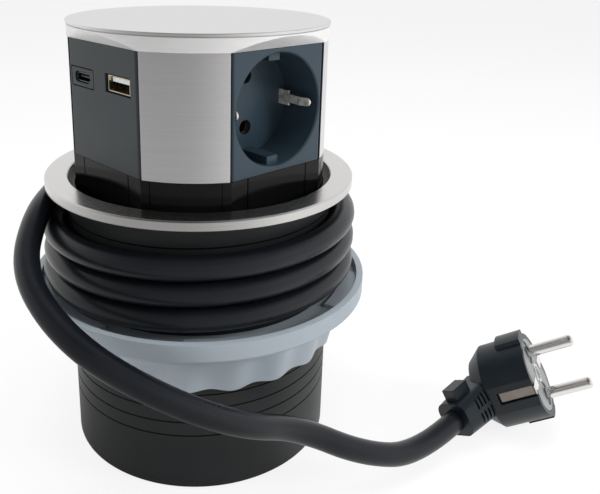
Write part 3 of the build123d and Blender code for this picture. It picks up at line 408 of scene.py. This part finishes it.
face_look = material("face_plastic", moulded, (0.021, 0.027, 0.030), (0.027, 0.034, 0.038),
                     (0.34, 0.46), specular=0.4, grain=7000.0, patches=30.0, relief=0.1,
                     relief_depth=0.00006, edge=0.0003)
dress(face_look, "usb_faceplate")
shell_look = material("port_shell", turned, (0.45, 0.36, 0.22), (0.72, 0.64, 0.5),
                      (0.15, 0.3), metallic=1.0, lines=4000.0)
dress(shell_look, "usb_a_shell")
dark_shell_look = material("port_shell_dark", turned, (0.1, 0.1, 0.1), (0.2, 0.2, 0.2),
                           (0.25, 0.4), metallic=1.0, lines=4000.0)
dress(dark_shell_look, "usb_c_shell")
white_look = material("white_moulding", moulded, (0.72, 0.73, 0.72), (0.8, 0.81, 0.8),
                      (0.4, 0.5), relief=0.05)
dress(white_look, "usb_a_tongue", "terminal_block", "lead_clamp")
black_look = material("small_black_parts", moulded, (0.015, 0.015, 0.015), (0.025, 0.025, 0.025),
                      (0.3, 0.5))
dress(black_look, "usb_c_tongue", "usb_capacitors")
board_look = material("board_laminate", moulded, (0.01, 0.08, 0.03), (0.015, 0.12, 0.045),
                      (0.3, 0.45), patches=500.0)
dress(board_look, "usb_board")
tape_look = material("transformer_tape", moulded, (0.55, 0.4, 0.05), (0.65, 0.5, 0.09),
                     (0.3, 0.4), patches=200.0)
dress(tape_look, "usb_transformer")

# The fine groove framing the small port, drawn as painted shade: a dark line laid on the face
frame_w, frame_h, frame_round, frame_line = 15.0 * MM, 7.3 * MM, 0.8 * MM, 0.4 * MM
frame_at = Vector((-43.05, 12.5, 148.92)) * MM
arc_steps = 6


def frame_loop(bm, inset):
    """Points of the port frame's outline, moved in by inset."""
    half_w, half_h, r = frame_w / 2 - inset, frame_h / 2 - inset, frame_round - inset
    points = []
    for quarter, (a, b) in enumerate(((1, 1), (-1, 1), (-1, -1), (1, -1))):
        for k in range(arc_steps + 1):
            turn = pi / 2 * (quarter + k / arc_steps)
            y, z = a * (half_w - r) + r * cos(turn), b * (half_h - r) + r * sin(turn)
            points.append(bm.verts.new(frame_at + Vector((0, y, z))))
    return points


def skin(bm, rows, closed=False):
    """Faces between neighbouring rings of points, and from the last to the first if closed."""
    following = rows[1:] + rows[:1] if closed else rows[1:]
    faces = []
    for low, high in zip(rows, following):
        for i in range(len(low)):
            j = (i + 1) % len(low)
            faces.append(bm.faces.new((low[i], low[j], high[j], high[i])))
    return faces


def mesh_piece(name, bm, look):
    """A finished piece of this look from a bmesh."""
    mesh = bpy.data.meshes.new(name)
    bm.to_mesh(mesh)
    bm.free()
    mesh.materials.append(look)
    piece = bpy.data.objects.new(name, mesh)
    bpy.context.collection.objects.link(piece)
    return piece


bm = bmesh.new()
skin(bm, [frame_loop(bm, frame_line), frame_loop(bm, 0.0)])
port_frame = mesh_piece("port_frame_shade_line", bm, groove_shade_look)
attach(port_frame, "head")


# Clamping nut
# Pale blue-grey mouldings: a raised-rim ring that presses against the desk's
# underside, and the fluted nut that drives it up the thread.

nut_look = material("nut_plastic", moulded, (0.27, 0.31, 0.345), (0.31, 0.352, 0.39),
                    (0.4, 0.52), grain=3200.0, patches=22.0, relief=0.12,
                    relief_depth=0.0001, edge=0.0004)
dress(nut_look, "pressure_ring", "clamping_nut")

# Skirt of the nut: wide shallow waves that run out under the flange and into its lower edge
waves_n, wave_steps, skirt_rows = 20, 16, 9
nut_bore_r, foot_r, shoulder_r, flange_r = 52.7 * MM, 54.7 * MM, 57.6 * MM, 58.8 * MM
nut_low_z, skirt_top_z, nut_top_z = 42.8 * MM, 56.2 * MM, 59.2 * MM
wave_foot, wave_top, wave_edge = 1.3 * MM, 2.2 * MM, 0.8 * MM
wave_fade, nut_edge, nut_crease = 0.12, 0.4 * MM, radians(50)


def skirt_point(share, trough):
    """Radius and height of the skirt's wall at this share of its rise, from crest 0 to trough 1."""
    low_z = nut_low_z + wave_edge * trough
    fade = min(1.0, (1 - share) / wave_fade)
    depth = (wave_foot + (wave_top - wave_foot) * share) * fade * trough
    return foot_r + (shoulder_r - foot_r) * share - depth, low_z + (skirt_top_z - low_z) * share


bm = bmesh.new()
columns = []
for k in range(waves_n * wave_steps):
    angle = 2 * pi * k / (waves_n * wave_steps)
    trough = (1 + cos(waves_n * angle)) / 2
    outline = [(nut_bore_r, nut_low_z + wave_edge * trough)]
    outline += [skirt_point(row / skirt_rows, trough) for row in range(skirt_rows + 1)]
    outline += [(flange_r - nut_edge, skirt_top_z), (flange_r, skirt_top_z + nut_edge),
                (flange_r, nut_top_z - nut_edge), (flange_r - nut_edge, nut_top_z),
                (nut_bore_r, nut_top_z)]
    columns.append([bm.verts.new((r * cos(angle), r * sin(angle), z)) for r, z in outline])
for face in skin(bm, columns, closed=True):
    face.smooth = True
bmesh.ops.recalc_face_normals(bm, faces=bm.faces)
for edge in bm.edges:
    edge.smooth = edge.calc_face_angle(0.0) < nut_crease
nut_body = mesh_piece("nut_body", bm, nut_look)
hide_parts("clamping_nut")
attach(nut_body, "nut")


# Mains cord
# Black PVC flex, 8.9 mm over its sheath. It leaves low on the back of the
# housing, climbs behind the nut, winds round three times and comes off to the
# left, crosses the front and drops to the floor, where its plug lies.

cord_d = 8.9 * MM
coil_reach, coil_pitch = 57.25 * MM, 9.4 * MM
coil_front_z, coil_front_az = 73.3 * MM, -51.0
entry_az, entry_end_az, last_az = -185.0, -119.0, 940.0
entry_out, entry_up = 10.5 * MM, 3.8 * MM
entry_out_power, entry_up_power = 1.6, 1.8
back_rise, back_az, back_half = 1.3 * MM, 206.0, 60.0
coil_approach, coil_leave, az_step = 22.0 * MM, 7.4 * MM, 0.1
turn_step = 30.0
cord_steps, cord_round = 10, 6

# The spline cuts the winding's corners, so its points stand out by one over these shares
entry_share, chord_share = 0.99, cos(radians(turn_step / 2))
entry_stops = (-185.0, -170.0, -154.0, -137.0)

# Stops of the two free stretches: azimuth in degrees, distance from the axis and height in mm
riser_stops = ((100.0, 69.5, 16.0), (109.3, 80.4, 25.0), (119.1, 88.8, 37.7),
               (129.3, 91.8, 52.0), (140.4, 88.7, 64.9))
free_stops = ((-109.1, 64.6, 98.8), (-90.0, 77.7, 87.6), (-69.2, 83.7, 74.9),
              (-50.3, 80.0, 59.0), (-29.9, 76.5, 44.0), (-8.4, 66.7, 29.5), (7.7, 81.8, 15.6))
plug_rear = Vector((60.06, -89.34, 11.01)) * MM
grip_axis = Vector((-0.9847, 0.0317, -0.1716))
plug_approach = 24.6 * MM


def along(az, reach, z=0.0):
    """A place from its azimuth in degrees (0 is the front, growing to the right), reach, height."""
    return Vector((reach * sin(radians(az)), -reach * cos(radians(az)), z))


def coil_spot(az, share=1.0):
    """A place on the winding's centre line, moved out by one over share."""
    off = abs((az - back_az + 180) % 360 - 180)
    z = coil_front_z + coil_pitch * (az - coil_front_az) / 360
    z += back_rise * cos(radians(90 * min(1.0, off / back_half))) ** 2
    entry = max(0.0, entry_end_az - az) / (entry_end_az - entry_az)
    z += entry_up * sin(radians(90 * entry ** entry_up_power)) ** 2
    return along(az, coil_reach / share + entry_out * entry ** entry_out_power, z)


coil_start, coil_end = coil_spot(entry_az), coil_spot(last_az)
lead_in = (coil_spot(entry_az + az_step) - coil_start).normalized()
lead_out = (coil_end - coil_spot(last_az - az_step)).normalized()
coil_span = last_az - entry_end_az
coil_steps = round(coil_span / turn_step)
route = [along(az, reach * MM, z * MM) for az, reach, z in riser_stops]
route += [coil_start - lead_in * coil_approach]
route += [coil_spot(az, entry_share) for az in entry_stops]
route += [coil_spot(entry_end_az + coil_span * k / coil_steps, chord_share)
          for k in range(coil_steps)]
route += [coil_end, coil_end + lead_out * coil_leave]
route += [along(az, reach * MM, z * MM) for az, reach, z in free_stops]
route += [plug_rear + grip_axis * plug_approach, plug_rear]

curve = bpy.data.curves.new("mains_cord", "CURVE")
curve.dimensions = "3D"
spline = curve.splines.new("NURBS")
spline.points.add(len(route) - 1)
for knot, place in zip(spline.points, route):
    knot.co = (*place, 1.0)
spline.order_u = 3
spline.use_endpoint_u = True
spline.resolution_u = cord_steps
curve.bevel_depth = cord_d / 2
curve.bevel_resolution = cord_round
curve.use_fill_caps = True
mains_cord = bpy.data.objects.new("mains_cord", curve)
bpy.context.collection.objects.link(mains_cord)

sheath = material("cord_sheath", moulded, (0.004, 0.005, 0.007), (0.007, 0.008, 0.011),
                  (0.26, 0.36), specular=0.36, grain=2600.0, patches=40.0, relief=0.1,
                  relief_depth=0.00012, edge=0.0)
curve.materials.append(sheath)
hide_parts("cord_riser", "cord_coil", "cord_free")
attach(mains_cord, "housing")


# Cord outlet
# Moulded elbow low on the back, with a soft tapered sleeve round the cord that
# is ribbed so that it bends with it.

relief_len, relief_wide, relief_narrow = 24.0 * MM, 7.0 * MM, 5.0 * MM
relief_rings, relief_sides = 13, 40
rib_every, rib_cut = 3, 0.35 * MM
out_way = (route[1] - route[0]).normalized()
side_way = out_way.cross(Vector((0, 0, 1))).normalized()
lift_way = side_way.cross(out_way)

dress(tube_look, "cord_outlet")


def circle(bm, middle, reach, across, up, count):
    """Points of a circle round middle that starts at across and turns towards up."""
    angles = [2 * pi * i / count for i in range(count)]
    return [bm.verts.new(middle + reach * (cos(a) * across + sin(a) * up)) for a in angles]


def capped_skin(bm, rows):
    """A closed body through these rings; gives back its side faces."""
    sides = skin(bm, rows)
    bm.faces.new(rows[0])
    bm.faces.new(rows[-1])
    return sides


bm = bmesh.new()
rows = []
for k in range(relief_rings):
    share = k / (relief_rings - 1)
    cut = rib_cut if k % rib_every == rib_every - 1 else 0.0
    reach = relief_wide + (relief_narrow - relief_wide) * share - cut
    middle = route[0] + out_way * relief_len * share
    rows.append(circle(bm, middle, reach, side_way, lift_way, relief_sides))
for face in capped_skin(bm, rows):
    face.smooth = True
bmesh.ops.recalc_face_normals(bm, faces=bm.faces)
rubber_look = material("relief_rubber", moulded, (0.012, 0.013, 0.014), (0.02, 0.021, 0.022),
                       (0.5, 0.62), grain=3000.0, relief=0.15)
cord_relief = mesh_piece("cord_relief", bm, rubber_look)
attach(cord_relief, "housing")


# Plug
# Blue-black moulded plug: ribbed grip, flattened round body with guide blocks,
# pale grey face, nickel pins and dull earth straps along its sides.

plug_look = material("plug_plastic", moulded, (0.004, 0.007, 0.010), (0.008, 0.012, 0.016),
                     (0.32, 0.44), specular=0.34, grain=3600.0, patches=60.0, relief=0.1,
                     relief_depth=0.00008, edge=0.0004)
dress(plug_look, "plug_body", "plug_grip")
plug_face_look = material("plug_face_grey", moulded, (0.17, 0.18, 0.185), (0.25, 0.26, 0.265),
                          (0.45, 0.55), edge=0.0003)
dress(plug_face_look, "plug_face")
pin_look = material("pin_nickel", moulded, (0.72, 0.7, 0.68), (0.8, 0.78, 0.76),
                    (0.08, 0.14), metallic=1.0, grain=2500.0, patches=200.0, relief=0.01,
                    edge=0.0003)
dress(pin_look, "plug_pins")
strap_look = material("strap_dull", moulded, (0.2, 0.17, 0.15), (0.3, 0.26, 0.23),
                      (0.3, 0.5), metallic=0.8, patches=120.0)
dress(strap_look, "plug_earth_straps")

# Each earth strap bends over the body's front edge on to the face; between the pins lies
# the rim of the earth hole
plug_front = Vector((95.48, -104.57, 25.2)) * MM
plug_ahead, pin_line = Vector((0.3959, -0.7703, 0.5)), Vector((-0.1343, 0.4901, 0.8613))
plug_side = plug_ahead.cross(pin_line)
tab_w, tab_t, tab_sink, tab_from, tab_to = 3.6 * MM, 0.35 * MM, 0.1 * MM, 16.0 * MM, 7.6 * MM
rim_r, rim_wire, rim_steps, wire_sides = 3.4 * MM, 0.5 * MM, 28, 8

bm = bmesh.new()
for hand in (-1, 1):
    capped_skin(bm, [
        [bm.verts.new(plug_front + plug_side * hand * out + pin_line * aside + plug_ahead * up)
         for out, aside in ((tab_from, -tab_w / 2), (tab_from, tab_w / 2),
                            (tab_to, tab_w / 2), (tab_to, -tab_w / 2))]
        for up in (-tab_sink, tab_t)])
rows = []
for k in range(rim_steps):
    turn = 2 * pi * k / rim_steps
    across = cos(turn) * pin_line + sin(turn) * plug_side
    middle = plug_front + across * rim_r
    rows.append(circle(bm, middle, rim_wire, across, plug_ahead, wire_sides))
for face in skin(bm, rows, closed=True):
    face.smooth = True
bmesh.ops.recalc_face_normals(bm, faces=bm.faces)
plug_contacts = mesh_piece("plug_contacts", bm, pin_look)
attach(plug_contacts, "housing")


# Inner lead
# Curly black lead inside the housing, given the cord's sheath and a mesh of its own;
# the real lead stretches as the head rises and closes up as it is pushed down.

dress(sheath, "inner_lead")
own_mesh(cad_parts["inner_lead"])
